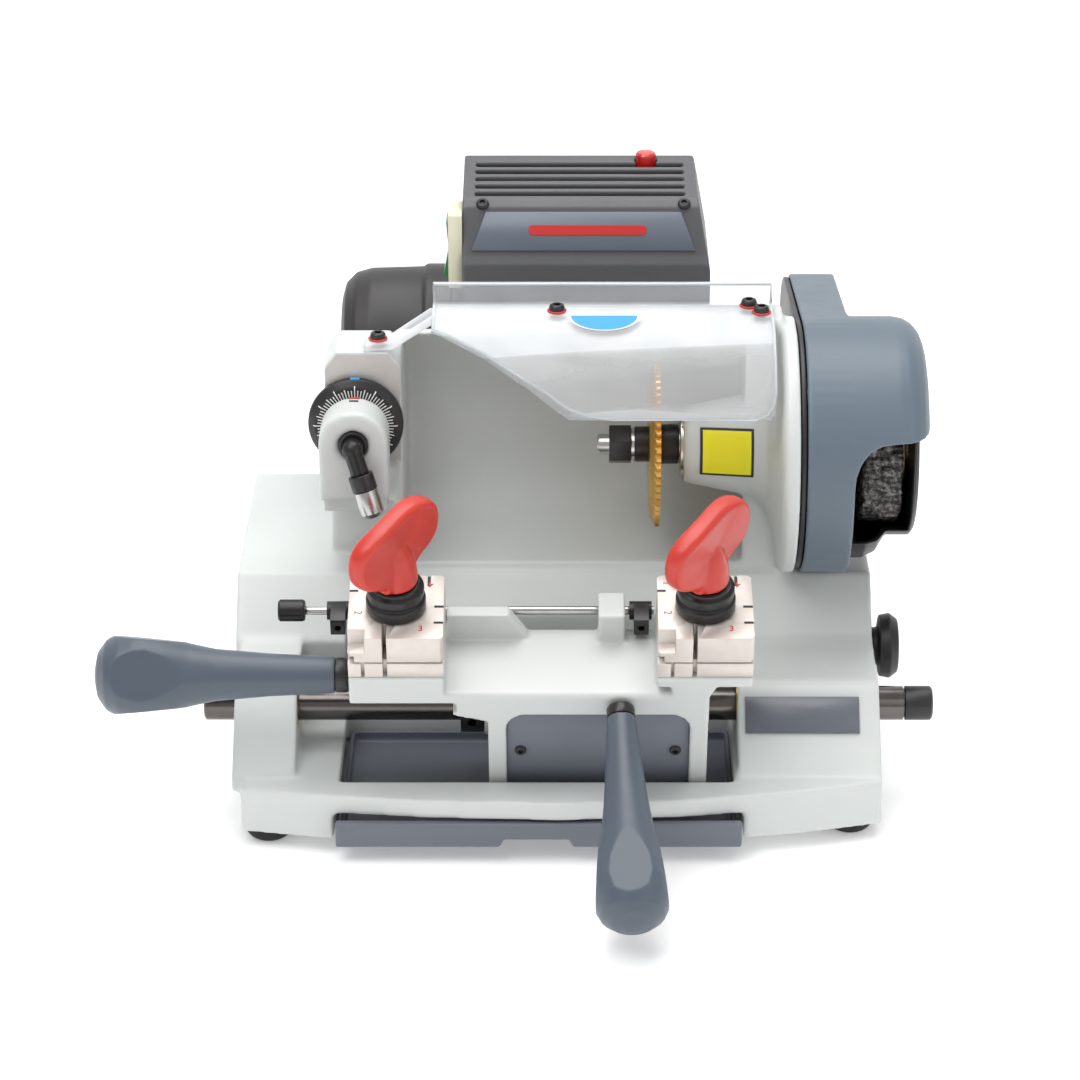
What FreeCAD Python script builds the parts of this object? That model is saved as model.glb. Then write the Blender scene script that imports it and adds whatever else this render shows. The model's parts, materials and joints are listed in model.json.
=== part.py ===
import FreeCAD, Part
import math
import os
import re
import Sketcher

# Bench key-cutting machine, in millimetres and degrees. It stands on z = 0 with its spindle
# along X; left is -X, the front is -Y. A tilted carriage with two key clamps turns on a
# shaft along X at the front. The finished machine is shifted by offx and offy.

V = FreeCAD.Vector
doc = FreeCAD.newDocument("key_machine")

DIMS = {
    # shift of the whole machine
    "offx": 18.9, "offy": 44.4,
    # base
    "base_left": -158.0, "base_right": 152.0, "foot_height": 8.0, "ledge_z": 31.0,
    "plate_thick": 1.5,
    # spindle, cutter and brush
    "spindle_z": 155.0, "spindle_rad": 8.0, "spin_fit": 0.05,
    "bearing_rad": 16.0, "bearing_wide": 10.0,
    "cutter_rad": 40.0, "cutter_thick": 5.0, "cutter_x": 43.0, "brush_rad": 38.0,
    # motor, pulleys and belt guard
    "motor_y": 100.0, "motor_z": 165.0, "motor_rad": 42.0,
    "spulley_rad": 30.0, "mpulley_rad": 20.0, "pulley_lip": 3.0,
    "guard_rad": 62.0, "guard_wall": 3.0, "guard_tail": 38.0,
    # tracer
    "tracer_x": -98.0, "tracer_z": 171.0,
    # carriage shaft, clamps and gauge
    "shaft_y": -72.0, "shaft_z": 51.0, "shaft_rad": 8.2, "shaft_fit": 0.06, "rest_tilt": 16.0,
    "clamp_left": -75.4, "clamp_right": 66.9, "jaw_side": 44.0, "jaw_seat": 36.0,
    "jaw_low": 8.4, "jaw_high": 14.6, "stud_rad": 6.0, "stud_fit": 0.06,
    "gauge_rad": 2.0, "gauge_fit": 0.06,
}
sheet = doc.addObject("Spreadsheet::Sheet", "Dims")
for row, (alias, value) in enumerate(DIMS.items(), start=1):
    sheet.set("A%d" % row, alias)
    sheet.set("B%d" % row, repr(value))
    sheet.setAlias("B%d" % row, alias)
doc.recompute()

X_AXIS, Y_AXIS, Z_AXIS = V(1, 0, 0), V(0, 1, 0), V(0, 0, 1)
YZ = FreeCAD.Rotation(V(1, 1, 1), 120)   # sketch x, y, normal -> Y, Z, X
XZ = FreeCAD.Rotation(X_AXIS, 90)        # sketch x, y, normal -> X, Z, -Y

GAP = 0.05                               # gap left between touching pieces
MOTOR_Y, MOTOR_Z = DIMS["motor_y"], DIMS["motor_z"]
SPINDLE_Z = DIMS["spindle_z"]
TRACER_X, TRACER_Z = DIMS["tracer_x"], DIMS["tracer_z"]
PLATFORM_RISE = V(0, -23.0, 20.0)        # shaft axis to the clamp platform's frame
STUD_Y = 2.4                             # clamp centre, in the platform's frame

# Frames the pieces are modelled in.
BASE = FreeCAD.Placement(V(DIMS["offx"], DIMS["offy"], 0), FreeCAD.Rotation())
CARRIAGE = BASE.multiply(FreeCAD.Placement(
    V(0, DIMS["shaft_y"], DIMS["shaft_z"]), FreeCAD.Rotation(X_AXIS, DIMS["rest_tilt"])))
RAISE = FreeCAD.Placement(PLATFORM_RISE, FreeCAD.Rotation())
PLATFORM = CARRIAGE.multiply(RAISE)
PARTS = []


def on_spindle(x):
    return (x, 0, SPINDLE_Z)


def on_motor(x):
    return (x, MOTOR_Y, MOTOR_Z)


def on_shaft(x):
    return (x, DIMS["shaft_y"], DIMS["shaft_z"])


def on_tracer(y):
    return (TRACER_X, y, TRACER_Z)


def on_gauge(x):
    """Point on the gauge rod's axis, in the platform's frame."""
    return (x, 29, 34)


def on_left_lever(x):
    """Point on the left lever's axis, in the platform's frame."""
    return (x, -8, 27)


# ---------------------------------------------------------------- modelling helpers
def bind(obj, prop, size):
    """Set a property to a number, or bind it to a formula of spreadsheet aliases."""
    if isinstance(size, str):
        obj.setExpression(prop, re.sub(r"([a-z]\w*)", r"Dims.\1", size))
    else:
        setattr(obj, prop, size)


def place(obj, start, rotation=FreeCAD.Rotation()):
    obj.Placement = FreeCAD.Placement(V(*start), rotation)
    return obj


def cyl(radius, length, start, axis=X_AXIS):
    obj = doc.addObject("Part::Cylinder", "Cylinder")
    bind(obj, "Radius", radius)
    bind(obj, "Height", length)
    return place(obj, start, FreeCAD.Rotation(Z_AXIS, V(*axis)))


def box(low, high):
    """Box between two opposite corners."""
    obj = doc.addObject("Part::Box", "Box")
    for prop, start, end in zip(("Length", "Width", "Height"), low, high):
        setattr(obj, prop, end - start)
    return place(obj, low)


def sketch(body, outline, hole=None):
    """Closed polygon on the body's XY plane, with an optional round hole at the origin."""
    obj = body.newObject("Sketcher::SketchObject", "Sketch")
    plane = [item for item in body.Origin.OriginFeatures if item.Role == "XY_Plane"][0]
    obj.AttachmentSupport = (plane, [""])
    obj.MapMode = "FlatFace"
    points = [V(x, y, 0) for x, y in outline]
    count = len(points)
    for i in range(count):
        obj.addGeometry(Part.LineSegment(points[i], points[(i + 1) % count]), False)
    for i in range(count):
        obj.addConstraint(Sketcher.Constraint("Coincident", i, 2, (i + 1) % count, 1))
    if hole is not None:
        circle = obj.addGeometry(Part.Circle(V(0, 0, 0), Z_AXIS, hole), False)
        obj.addConstraint(Sketcher.Constraint("Radius", circle, hole))
    return obj


def extrude(outline, length, start, rotation=FreeCAD.Rotation(), hole=None):
    """Outline in the local XY plane, grown along local Z."""
    body = doc.addObject("PartDesign::Body", "Body")
    profile = sketch(body, outline, hole)
    feature = body.newObject("PartDesign::Pad", "Pad")
    feature.Profile = profile
    bind(feature, "Length", length)
    return place(body, start, rotation)


def along_x(outline, length, x, z=0, hole=None):
    """Outline of (y, z) points, grown towards +X from x."""
    return extrude(outline, length, (x, 0, z), YZ, hole)


def along_y(outline, length, y):
    """Outline of (x, z) points, grown towards -Y from y."""
    return extrude(outline, length, (0, y, 0), XZ)


def along_z(outline, length, z):
    """Outline of (x, y) points, grown towards +Z from z."""
    return extrude(outline, length, (0, 0, z))


def turned(profile, start, axis=X_AXIS):
    """Turned body; profile points are (distance along the axis, radius)."""
    body = doc.addObject("PartDesign::Body", "Body")
    half = sketch(body, profile)
    feature = body.newObject("PartDesign::Revolution", "Revolution")
    feature.Profile = half
    feature.ReferenceAxis = (half, ["H_Axis"])
    feature.Angle = 360.0
    return place(body, start, FreeCAD.Rotation(X_AXIS, V(*axis)))


def fuse(*pieces):
    obj = doc.addObject("Part::MultiFuse", "Fuse")
    obj.Shapes = list(pieces)
    obj.Refine = True
    return obj


def cut(base, *tools):
    obj = doc.addObject("Part::Cut", "Cut")
    obj.Base = base
    obj.Tool = tools[0] if len(tools) == 1 else fuse(*tools)
    return obj


def group(pieces):
    """Separate solids kept together under one label."""
    obj = doc.addObject("Part::Compound", "Compound")
    obj.Links = list(pieces)
    return obj


def arc(centre_x, centre_y, radius, start, end, steps):
    """Points along an arc, both ends included."""
    angles = [math.radians(start + (end - start) * i / steps) for i in range(steps + 1)]
    return [(centre_x + radius * math.cos(angle), centre_y + radius * math.sin(angle))
            for angle in angles]


def belt_outline(spindle_end, motor_end):
    """(y, z) outline round circles of these radii on the two axes and their outer tangents."""
    steps = 36
    distance = math.hypot(MOTOR_Y, MOTOR_Z - SPINDLE_Z)
    slope = math.atan2(MOTOR_Z - SPINDLE_Z, MOTOR_Y)
    spread = math.acos((spindle_end - motor_end) / distance)
    upper, lower = math.degrees(slope + spread), math.degrees(slope - spread)
    return (arc(0, SPINDLE_Z, spindle_end, upper, lower + 360, steps)
            + arc(MOTOR_Y, MOTOR_Z, motor_end, lower, upper, steps))


def raised(obj):
    """Move a piece from the platform's frame into the carriage's."""
    obj.Placement = RAISE.multiply(obj.Placement)
    return obj


def add_part(label, piece, frame):
    piece.Placement = frame.multiply(piece.Placement)
    piece.Label = label
    PARTS.append(piece)


def part(frame):
    """Decorator: build the piece in this frame, under the function's name."""
    def build(make):
        add_part(make.__name__, make(), frame)
        return make
    return build


# ---------------------------------------------------------------- base casting
def spindle_barrel(end):
    return turned([(58, 0), (58, 16), (60, 18.5), (92, 25), (99, 30), (103, 41), (104.5, 56),
                   (105, 59), (107, 62), (end, 62), (end, 0)], on_spindle(0))


def base_body():
    plinth = along_z([(-150, -121), (-112, -128), (-60, -133.5), (0, -136), (60, -132.5),
                      (112, -124), (152, -114), (155, -60), (156, 110), (-160, 110),
                      (-154, -60)], "ledge_z-foot_height", DIMS["foot_height"])
    rear = along_x([(-36, 8), (-36, 66), (-30, 72), (-12, 92), (110, 92), (110, 8)],
                   "base_right-base_left", DIMS["base_left"])
    cheek = [(-113, 24), (-110, 32), (-98, 43), (-79, 62.5), (-74, 65), (-40, 66),
             (-34, 68), (-12, 92), (-10, 92), (-10, 24)]
    cheek_left = along_x(cheek, 30, -155)
    cheek_right = along_x(cheek, 68, 84)
    wall = along_x([(-9, 86), (56, 86), (56, 165), (50, 182), (37, 200), (22, 214), (20, 220),
                    (0, 220), (-3, 217), (-3, 211), (-9, 150)], 167, -60)
    wall_left = along_x([(-9, 86), (56, 86), (56, 165), (50, 182), (38, 199), (28, 204),
                         (-3, 204), (-9, 150)], 24, -80)
    tower = along_y([(-113, 128), (-113, 198), (-107, 206), (-82, 206), (-76, 198),
                     (-76, 128)], 30, 22)
    tower_foot = box((-112.5, 10, 88), (-76, 50, 160))
    boss_rad = 16.5
    tracer_boss = along_y([(TRACER_X - boss_rad, 142)]
                          + arc(TRACER_X, TRACER_Z, boss_rad, 180, 0, 18)
                          + [(TRACER_X + boss_rad, 142)], 22, -18)
    link = box((-113.5, -34, 134), (-82.5, -7, 146.5))
    return fuse(plinth, rear, cheek_left, cheek_right, wall, wall_left, tower, tower_foot,
                tracer_boss, link, spindle_barrel(113))


def cutting_bay():
    """Open bay round the cutter, less the spindle barrel."""
    left, width = -76, 164.9
    round_part = cyl(58, width, (left, -8, 154))
    front = along_x([(-60, 110), (-60, 260), (-8, 212), (-8, 96), (-50, 96)], width, left)
    return cut(fuse(round_part, front), spindle_barrel(114))


@part(BASE)
def base_casting():
    underside = along_z([(-150, -12), (145, -12), (145, 80), (122, 80), (122, 102),
                         (-126, 102), (-126, 80), (-150, 80)], 75, 7)
    tray_bay = box((-106, -145, 7), (86, -27, 21.5))
    front_opening = along_z([(-104, -113.4), (82, -113.4), (82, -26), (-104, -26)], 60, 20)
    shaft_bore = cyl("shaft_rad+shaft_fit+2.5", 330, on_shaft(-165))
    spindle_bore = cyl("spindle_rad+1.5", 70, on_spindle(50))
    bearing_seat = cyl("bearing_rad", 11, on_spindle(57.5))
    tracer_bore = cyl(7.0, 64.5, on_tracer(-45), Y_AXIS)
    front_sweep = box((-104, -60, 30), (82, -36.0, 90))
    return cut(base_body(), cutting_bay(), underside, tray_bay, front_opening, shaft_bore,
               spindle_bore, bearing_seat, tracer_bore, front_sweep)


# ---------------------------------------------------------------- base fittings
@part(BASE)
def bottom_plate():
    outline = [(-126, -112), (126, -112), (126, -20), (150, -20), (150, 82), (126, 82),
               (126, 104), (-130, 104), (-130, 82), (-154, 82), (-154, -20), (-126, -20)]
    return along_z(outline, "plate_thick", DIMS["foot_height"] - DIMS["plate_thick"])


@part(BASE)
def rubber_feet():
    profile = [(0, 0), (0, 8), (1.5, 10), (4, 11.5), (7.95, 11.5), (7.95, 0)]
    places = [(-138, -108), (138, -100), (-143, 96), (139, 96)]
    return group(turned(profile, (x, y, 0), Z_AXIS) for x, y in places)


@part(BASE)
def chip_tray():
    pan = box((-103, -132, 8.2), (83, -32, 15.5))
    front = along_y([(-105, 8.2), (-105, 20.5), (85, 20.5), (85, 8.2)], 5, -132)
    inside = box((-101, -130, 10.2), (81, -34, 30))
    front_notch = along_y([(-30, 5), (-26, 12.5), (4, 12.5), (8, 5)], 12, -130)
    return cut(fuse(pan, front), inside, front_notch)


@part(BASE)
def name_plate():
    """Plate on the slope of the right cheek."""
    return extrude([(-27, -9), (27, -9), (27, 9), (-27, 9)], 1.2,
                   (115, -88.5 - GAP, 52.75 + GAP), FreeCAD.Rotation(X_AXIS, 45.7))


@part(BASE)
def shaft_bushes():
    spans = [(-155, 30), (84, 68)]   # left end, length: same as the cheeks
    return group(cut(cyl("shaft_rad+shaft_fit+2.5", length, on_shaft(x)),
                     cyl("shaft_rad+shaft_fit", length + 2, on_shaft(x - 1)))
                 for x, length in spans)


@part(BASE)
def side_knob():
    return turned([(0, 0), (0, 9), (3, 9), (4, 15), (9, 16), (13, 13), (14, 0)],
                  (152.1, -24, 58))


# ---------------------------------------------------------------- spindle
@part(BASE)
def spindle_shaft():
    return turned([(18, 0), (18, 4.4), (19, 5), (34.4, 5), (34.4, 8), (58, 8), (166.5, 8),
                   (166.5, 5), (169.8, 5), (169.8, 0)], on_spindle(0))


@part(BASE)
def spindle_bearings():
    return cut(cyl("bearing_rad", "bearing_wide", on_spindle(57.9)),
               cyl("spindle_rad+spin_fit", 14, on_spindle(56)))


@part(BASE)
def cutter():
    teeth = 60
    # drop below the cutter's radius, angle past the tooth's tip
    tooth = [(0, 0.0), (0.2, 1.4), (1.9, 2.4)]
    outline = []
    for i in range(teeth):
        for drop, lag in tooth:
            radius = DIMS["cutter_rad"] - drop
            angle = math.radians(360.0 * i / teeth + lag)
            outline.append((radius * math.cos(angle), radius * math.sin(angle)))
    disc = along_x(outline, "cutter_thick", DIMS["cutter_x"], SPINDLE_Z, DIMS["spindle_rad"])
    bevel = turned([(42.9, 34.5), (46.3, 40.6), (46.3, 43), (42.9, 43)], on_spindle(0))
    return cut(disc, bevel)


@part(BASE)
def cutter_spacers():
    left = cut(turned([(34.5, 0), (34.5, 7.0), (36.5, 8.6), (43, 8.6), (43, 0)],
                      on_spindle(0)), cyl("spindle_rad", 20, on_spindle(30)))
    right = cut(turned([(48, 0), (48, 9.6), (57.4, 9.6), (57.4, 0)],
                       on_spindle(0)), cyl("spindle_rad", 20, on_spindle(44)))
    return group([left, right])


@part(BASE)
def cutter_nut():
    corner_rad = 9.9
    angles = [math.radians(60 * i + 90) for i in range(6)]
    hexagon = [(corner_rad * math.cos(a), corner_rad * math.sin(a)) for a in angles]
    nut = along_x(hexagon, 10.5, 23.8, SPINDLE_Z, hole=5.0)
    chamfer = turned([(23.0, 8.4), (25.6, 11.5), (23.0, 11.5)], on_spindle(0))
    return cut(nut, chamfer)


def pulley(groove_rad, on_axis, bore):
    rim = groove_rad + DIMS["pulley_lip"]
    blank = turned([(118, 0), (118, rim), (120, rim), (120.4, groove_rad),
                    (131.6, groove_rad), (132, rim), (134, rim), (134, 0)], on_axis(0))
    return cut(blank, cyl(bore, 30, on_axis(112)))


@part(BASE)
def spindle_pulley():
    return pulley(DIMS["spulley_rad"], on_spindle, "spindle_rad")


@part(BASE)
def brush_hub():
    return cut(turned([(142, 0), (142, 20), (144, 20), (144, 14), (164, 14), (164, 18),
                       (166, 18), (166, 0)], on_spindle(0)),
               cyl("spindle_rad", 30, on_spindle(140)))


@part(BASE)
def deburring_brush():
    rim = DIMS["brush_rad"]
    return turned([(144.1, 14), (144.1, rim - 1), (145, rim), (163, rim), (163.9, rim - 1),
                   (163.9, 14)], on_spindle(0))


# ---------------------------------------------------------------- motor
@part(BASE)
def motor_housing():
    return cut(cyl("motor_rad", 127.9, on_motor(-53.9)),
               cyl("motor_rad-4", 121.9, on_motor(-50.9)),
               cyl(8.06, 20, on_motor(65)), cyl(6.06, 20, on_motor(-65)))


@part(BASE)
def motor_end_cap():
    outer = [(-110, 0), (-110, 27), (-108, 34), (-103, 39), (-95, 41.2), (-68, 42),
             (-67.5, 43.4), (-54, 43.4), (-54, 0)]
    inner = [(-106, 0), (-106, 26), (-100, 35), (-93, 37.5), (-53, 38), (-53, 0)]
    return cut(turned(outer, on_motor(0)), turned(inner, on_motor(0)))


@part(BASE)
def motor_mount():
    blocks = [box((left, 64, 92), (right, 136, 140)) for left, right in ((-40, -22), (42, 60))]
    return cut(group(blocks), cyl("motor_rad", 220, on_motor(-110)))


@part(BASE)
def motor_rotor():
    return turned([(-98, 0), (-98, 6), (-45, 6), (-45, 26), (60, 26), (60, 8), (112, 8),
                   (112, 7), (135.4, 7), (135.4, 0)], on_motor(0))


@part(BASE)
def motor_pulley():
    return pulley(DIMS["mpulley_rad"], on_motor, 7.0)


@part(BASE)
def drive_belt():
    def loop(rise):
        return belt_outline(DIMS["spulley_rad"] + rise, DIMS["mpulley_rad"] + rise)
    return cut(along_x(loop(DIMS["pulley_lip"]), 9, 121.5), along_x(loop(0.4), 11, 120.5))


@part(BASE)
def motor_cover():
    outer = [(57.5, 180), (57.5, 226), (60, 230), (69, 252), (73, 255), (122, 261),
             (132, 252), (137, 180)]
    inner = [(60.5, 178), (60.5, 225), (63, 229), (71.5, 249.5), (75, 252), (120.5, 257.5),
             (129.2, 250.5), (134, 178)]
    # the right side leans in towards the top
    outer_lean = [(74.5, 178), (74, 222), (66.5, 264), (80, 264), (80, 178)]
    inner_lean = [(71.5, 176), (71, 222), (63.5, 266), (80, 266), (80, 176)]
    shell = cut(cut(along_x(outer, 122, -48), along_y(outer_lean, 100, 150)),
                cut(along_x(inner, 119, -45), along_y(inner_lean, 100, 150)),
                cyl(45.4, 260, on_motor(-130)))
    slot_pitch, slot_wide = 8.2, 4.6
    slots = [box((-42, 76.5 + slot_pitch * i, 249),
                 (61.5, 76.5 + slot_wide + slot_pitch * i, 266)) for i in range(5)]
    button_hole = cyl(5.5, 20, (43, 117.2, 250), Z_AXIS)
    return cut(shell, button_hole, *slots)


@part(BASE)
def cover_label():
    """Label on the front slope of the motor cover."""
    normal = V(0, -22, 9).normalize()
    tilt = FreeCAD.Rotation(X_AXIS, math.degrees(math.atan2(22, 9)))
    return extrude([(-55, -9.5), (55, -9.5), (48, 9.5), (-48, 9.5)], 1.0,
                   V(11.5, 64.5, 241) + normal * GAP, tilt)


@part(BASE)
def switch_bezel():
    return cut(box((-55, 62, 212), (-48.1, 84, 250)), box((-56, 65, 215), (-50, 81, 247)))


@part(BASE)
def switch_rocker():
    rocker = along_y([(-57.5, 217), (-55, 231), (-56, 245), (-52.2, 245), (-52.2, 217)],
                     14, 80)
    return fuse(rocker, cyl(1.2, 15.4, (-53.6, 65.3, 231), Y_AXIS))


@part(BASE)
def reset_button():
    return turned([(0, 0), (0, 5.2), (7.6, 5.2), (8.6, 4.2), (8.6, 0)],
                  (43, 117.2, 255.5), Z_AXIS)


@part(BASE)
def power_inlet():
    return box((-15, 110.1, 30), (15, 116, 52))


# ---------------------------------------------------------------- belt guard
@part(BASE)
def belt_guard():
    """Belt shell, with a hood over the top of the brush."""
    left, wall = 116.2, DIMS["guard_wall"]
    outer = belt_outline(DIMS["guard_rad"], DIMS["guard_tail"])
    inner = belt_outline(DIMS["guard_rad"] - wall, DIMS["guard_tail"] - wall)
    shell = cut(along_x(outer, 22.4, left), along_x(inner, 20.0, left),
                cyl(44, 6, on_spindle(135.0)))
    hood = [(138.2, 56), (138.2, 62), (160, 62), (165, 61.1), (169.2, 58.6), (172.2, 55),
            (174.2, 50.2), (175, 45), (175, 0), (172, 0), (172, 44.6), (171.4, 49),
            (169.8, 53), (167.2, 56.2), (163.8, 58.2), (159.6, 59), (138.6, 59), (138.6, 56)]
    # (x, z) region below the hood's sweeping lower edge
    below = [(138.6, 80), (138.6, 157), (139.4, 164), (141.6, 170), (145.6, 174.8),
             (151, 177.6), (158, 178.5), (168, 178.7), (182, 179.2), (182, 80)]
    return fuse(shell, cut(turned(hood, on_spindle(0)), along_y(below, 144, 72),
                           box((137.5, -72, 80), (138.7, 72, 157))))


@part(BASE)
def belt_guard_back():
    return cut(along_x(belt_outline(60.0, 36.5), 2.6, 113.4),
               cyl(12, 10, on_spindle(110)), cyl(12, 10, on_motor(110)))


@part(BASE)
def brush_housing():
    outer = [(137, 0), (137, 43.95), (138.8, 43.95), (138.8, 55), (146, 55), (152, 52),
             (155, 47), (157, 43.95), (168.5, 43.95), (170.5, 41.5), (170.5, 0)]
    inner = [(136, 0), (136, 41), (141.3, 41), (141.3, 52.5), (145.4, 52.5), (150.4, 50),
             (153.2, 45.4), (155.4, 41.2), (167.6, 41.2), (167.6, 0)]
    shaft_hole = cyl(7, 6, on_spindle(166.5))
    front_opening = box((136, -60, 122), (167.5, -10, 220))
    return cut(turned(outer, on_spindle(0)), turned(inner, on_spindle(0)),
               shaft_hole, front_opening)


@part(BASE)
def housing_screws():
    on_cover = [cyl(3.0, 1.4, (x, 70.2, 252.9), (0, -0.6, 0.8)) for x in (-38, 61)]
    on_guard = [cyl(2.6, 2.0, (138.7, y, z)) for y, z in ((100, 165), (66, 185), (66, 136))]
    return group(on_cover + on_guard)


# ---------------------------------------------------------------- tracer
# The stem lies along Y; at its front end a neck bends down to the tip.
ELBOW = V(*on_tracer(-45))
NECK = V(6, -4, -19)
NECK_DIR = V(NECK).normalize()
STEM_RAD = 4.95
NECK_RAD = 4.4


@part(BASE)
def tracer_dial():
    return cut(turned([(0, 0), (0, 22.5), (0.8, 22.9), (3.4, 22.9), (6, 19.4), (6, 0)],
                      on_tracer(-9.5), (0, -1, 0)), cyl(6.5, 30, on_tracer(-30), Y_AXIS))


@part(BASE)
def tracer_sleeve():
    return cut(cyl(6.94, 22, on_tracer(-40.5), Y_AXIS), cyl(5.0, 30, on_tracer(-44), Y_AXIS))


@part(BASE)
def tracer_stem():
    stem = cyl(STEM_RAD, 62, ELBOW, Y_AXIS)
    neck = cyl(NECK_RAD, NECK.Length, ELBOW, NECK)
    elbow = doc.addObject("Part::Sphere", "Sphere")
    elbow.Radius = STEM_RAD
    return fuse(stem, place(elbow, ELBOW), neck)


@part(BASE)
def tracer_collar():
    return cut(cyl(6.0, 8.0, ELBOW + NECK_DIR * (NECK.Length - 8.1), NECK),
               cyl(NECK_RAD, 30, ELBOW, NECK))


@part(BASE)
def tracer_tip():
    return turned([(0, 0), (0, 5.6), (11, 5.6), (13, 4.0), (13, 0)],
                  ELBOW + NECK_DIR * (NECK.Length + GAP), NECK_DIR)


# ---------------------------------------------------------------- shield
@part(BASE)
def safety_shield():
    """Bent sheet over the cutter, with trimmed front corners and a wing on the left."""
    section = [(17, 220.3), (17, 232.5), (14, 232.5), (14, 223.3), (-4, 223.3),
               (-18, 220.5), (-31, 213.5), (-43, 202.5), (-51.5, 189.5), (-49.0, 188.0),
               (-40.5, 200.7), (-29, 211), (-17, 217.6), (-4, 220.3)]
    corner_left = along_z([(-62, -60), (-62, -14), (-52, -20), (-38, -28), (-20, -38.5),
                           (-6, -45), (4, -49), (14, -51.2), (24, -60)], 60, 180)
    corner_right = along_z([(94, -60), (94, -51.6), (98, -50.3), (101, -47.5),
                            (102.1, -43), (104, -43), (104, -60)], 60, 180)
    wing = along_y([(-93.5, 206.3), (-80, 207.2), (-60, 220.4), (-60, 223.3), (-62, 223.3),
                    (-81, 210.2), (-93.5, 209.3)], 14, 6)
    return fuse(cut(along_x(section, 163, -61), corner_left, corner_right), wing)


@part(BASE)
def shield_screws():
    """Four washers, each with a domed head on top."""
    places = [(-87, -2, 210.3), (-1.5, 1, 223.4), (90.5, 8, 223.4), (96, -1, 223.4)]
    head = [(0, 0), (0, 3.8), (1.6, 3.6), (2.6, 2.2), (2.8, 0)]
    thick = 1.0
    washers = [cut(cyl(4.6, thick, (x, y, z), Z_AXIS), cyl(2, 3, (x, y, z - 1), Z_AXIS))
               for x, y, z in places]
    return group(washers + [turned(head, (x, y, z + thick), Z_AXIS) for x, y, z in places])


# ---------------------------------------------------------------- carriage
@part(BASE)
def carriage_shaft():
    return turned([(-170, 0), (-170, 7.2), (-169, 8.2), (164, 8.2), (164, 7.0), (165, 7.0),
                   (165, 0)], on_shaft(0))


@part(BASE)
def shaft_end_cap():
    return cut(turned([(165.1, 0), (165.1, 8.2), (177, 8.2), (178, 7), (178, 0)],
                      on_shaft(0)), cyl(3, 3, on_shaft(176)))


# Rounded upper corners of the front panel and its opening: centres in (x, z).
PANEL_LEFT, PANEL_RIGHT, PANEL_CORNER_Z = -15.9, 51.4, 24


def stud_bore(radius, length, centre, z):
    return cyl(radius, length, (centre, STUD_Y, z), Z_AXIS)


def carriage_body():
    hub_left = cyl(15, 20, (-36, 0, 0))
    hub_right = cyl(15, 20, (50, 0, 0))
    top = raised(along_x([(-20.8, 13), (-20.8, 24.5), (-19, 26), (25, 26), (25, 13)],
                         100, -48))
    fill_left = raised(along_x([(-20.8, 20.5), (-20.8, 24.5), (-19, 26), (25, 26), (25, 13),
                                (-6, 13)], 13, -60))
    seat_left = raised(along_x([(-20.8, 20.5), (-20.8, 36), (24, 36), (24, 13), (-6, 13)],
                               44, -97.4))
    seat_right = raised(along_x([(-20.8, 31), (-20.8, 36), (24, 36), (24, 15), (0, 15),
                                 (-12, 26)], 44, 44.9))
    block_right = raised(along_y([(51.5, 13), (60.55, 13), (60.55, 8), (69.2, 8), (69.2, 24),
                                  (73, 31.5), (73, 36), (51.5, 36)], 42, 21.2))
    leg = [(-43.8, -12), (-43.8, 36), (2, 36), (14, 12), (14, -10), (-6, -15), (-30, -14)]
    leg_left = along_x(leg, 8.5, -33.5)
    leg_right = along_x(leg, 8.5, 60.5)
    rib_left = raised(along_y([(-53.2, 25), (-53.2, 41), (-24, 41), (-14, 25)], 7, 24.5))
    rib_right = raised(along_y([(18, 25), (18, 42), (30.5, 42), (30.5, 25)], 18, 33.5))
    gusset = raised(along_y([(-50, 14), (-50, 13), (-33, 8.5), (-33, 14)], 14, -6.8))
    opening_rad = 9.05
    corner_left = along_y([(-25.5, 33.6), (-25.5, PANEL_CORNER_Z)]
                          + arc(PANEL_LEFT, PANEL_CORNER_Z, opening_rad, 180, 90, 8)
                          + [(PANEL_LEFT, 33.6)], 5.8, -38)
    corner_right = along_y([(61, 33.6), (PANEL_RIGHT, 33.6)]
                           + arc(PANEL_RIGHT, PANEL_CORNER_Z, opening_rad, 90, 0, 8)
                           + [(61, PANEL_CORNER_Z)], 5.8, -38)
    web = box((-30, -4, 10), (66, 2, 36))
    return fuse(hub_left, hub_right, top, fill_left, seat_left, seat_right, block_right,
                leg_left, leg_right, rib_left, rib_right, gusset, corner_left, corner_right,
                web)


@part(CARRIAGE)
def carriage_casting():
    return cut(carriage_body(), cyl("shaft_rad+shaft_fit", 400, (-200, 0, 0)),
               raised(cyl("gauge_rad+gauge_fit", 200, on_gauge(-120))),
               raised(stud_bore("stud_rad", 30, DIMS["clamp_left"], 14)),
               raised(stud_bore("stud_rad", 30, DIMS["clamp_right"], 14)))


@part(CARRIAGE)
def carriage_panel():
    corner_rad = 8.8
    return along_y([(-24.8, -12), (60.3, -12)]
                   + arc(PANEL_RIGHT, PANEL_CORNER_Z, corner_rad, 0, 90, 8)
                   + arc(PANEL_LEFT, PANEL_CORNER_Z, corner_rad, 90, 180, 8), 2.0, -39.5)


@part(CARRIAGE)
def panel_screws():
    return group(cyl(2.6, 1.6, (x, -43.2, 9), Y_AXIS) for x in (-18.5, 54))


@part(CARRIAGE)
def shaft_collar():
    return cut(cyl(14, 11, (-47.3, 0, 0)), cyl("shaft_rad+shaft_fit", 20, (-50, 0, 0)),
               cyl(2.2, 6, (-41.8, -15, 0), Y_AXIS))


# ---------------------------------------------------------------- clamps
JAW_HALF = DIMS["jaw_side"] / 2
KNOB_Z = 75.8
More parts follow.
